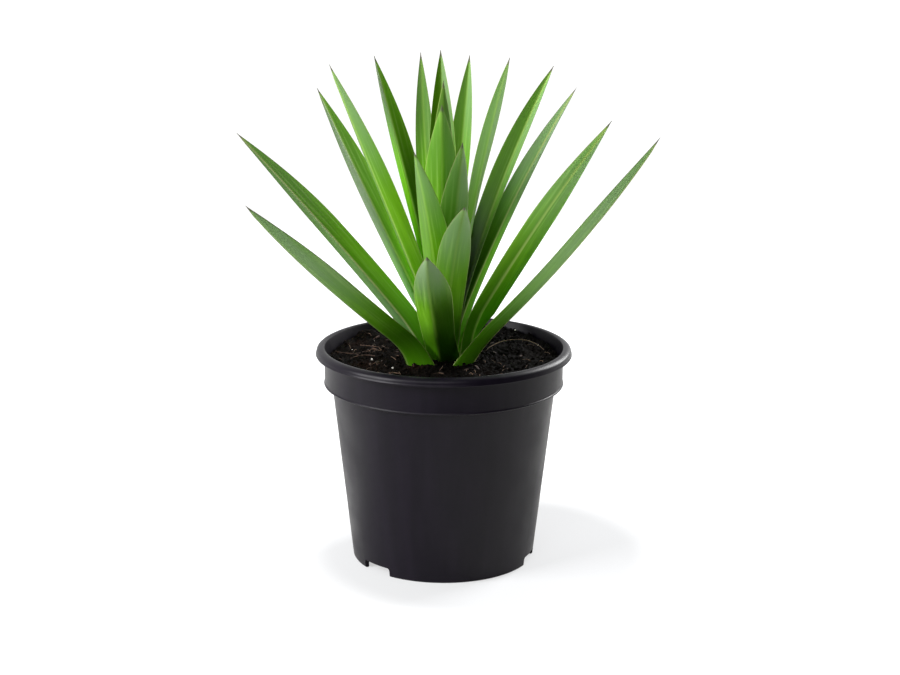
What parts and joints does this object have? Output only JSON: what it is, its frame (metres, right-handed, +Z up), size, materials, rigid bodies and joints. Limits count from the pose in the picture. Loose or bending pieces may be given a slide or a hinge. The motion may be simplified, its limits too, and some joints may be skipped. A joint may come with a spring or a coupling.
{
  "type": "potted furcraea",
  "caption": "Young furcraea: a rosette of stiff, pointed, keeled green leaves rising from potting soil in a tapered black plastic nursery pot with a rolled rim, a collar and foot notches.",
  "frame": {"origin": "on the pot's upright axis, in the plane that its foot stands on", "axes": "+Z up along the pot's axis; -Y towards the side seen in front, where the lowest front leaf points; +X to the right of that view"},
  "size_m": [0.3195, 0.4112, 0.3832],
  "materials": {
    "pot": "black polypropylene, satin, with fine scuffs",
    "soil": "dark damp peat and bark potting mix with perlite grains",
    "stem": "short fleshy stem, green to brown",
    "leaf_01": "stiff green leaf, satin with a waxy sheen and a thin pale margin",
    "leaf_02": "stiff green leaf, satin with a waxy sheen and a thin pale margin",
    "leaf_03": "stiff green leaf, satin with a waxy sheen and a thin pale margin",
    "leaf_04": "stiff green leaf, satin with a waxy sheen and a thin pale margin",
    "leaf_05": "stiff green leaf, satin with a waxy sheen and a thin pale margin",
    "leaf_06": "stiff green leaf, satin with a waxy sheen and a thin pale margin",
    "leaf_07": "stiff green leaf, satin with a waxy sheen and a thin pale margin",
    "leaf_08": "stiff green leaf, satin with a waxy sheen and a thin pale margin",
    "leaf_09": "stiff green leaf, satin with a waxy sheen and a thin pale margin",
    "leaf_10": "stiff green leaf, satin with a waxy sheen and a thin pale margin",
    "leaf_11": "stiff green leaf, satin with a waxy sheen and a thin pale margin",
    "leaf_12": "stiff green leaf, satin with a waxy sheen and a thin pale margin",
    "leaf_13": "stiff green leaf, satin with a waxy sheen and a thin pale margin",
    "leaf_14": "stiff green leaf, satin with a waxy sheen and a thin pale margin",
    "leaf_15": "stiff green leaf, satin with a waxy sheen and a thin pale margin",
    "leaf_16": "stiff green leaf, satin with a waxy sheen and a thin pale margin",
    "leaf_17": "stiff green leaf, satin with a waxy sheen and a thin pale margin",
    "leaf_18": "stiff green leaf, satin with a waxy sheen and a thin pale margin",
    "leaf_19": "stiff green leaf, satin with a waxy sheen and a thin pale margin",
    "leaf_20": "stiff green leaf, satin with a waxy sheen and a thin pale margin",
    "leaf_21": "stiff green leaf, satin with a waxy sheen and a thin pale margin"
  },
  "bodies": {
    "root": {"pot": "pot", "soil": "soil", "stem": "stem", "leaf_01": "leaf_01", "leaf_02": "leaf_02", "leaf_03": "leaf_03", "leaf_04": "leaf_04", "leaf_05": "leaf_05", "leaf_06": "leaf_06", "leaf_07": "leaf_07", "leaf_08": "leaf_08", "leaf_09": "leaf_09", "leaf_10": "leaf_10", "leaf_11": "leaf_11", "leaf_12": "leaf_12", "leaf_13": "leaf_13", "leaf_14": "leaf_14", "leaf_15": "leaf_15", "leaf_16": "leaf_16", "leaf_17": "leaf_17", "leaf_18": "leaf_18", "leaf_19": "leaf_19", "leaf_20": "leaf_20", "leaf_21": "leaf_21"}
  },
  "joints": []
}
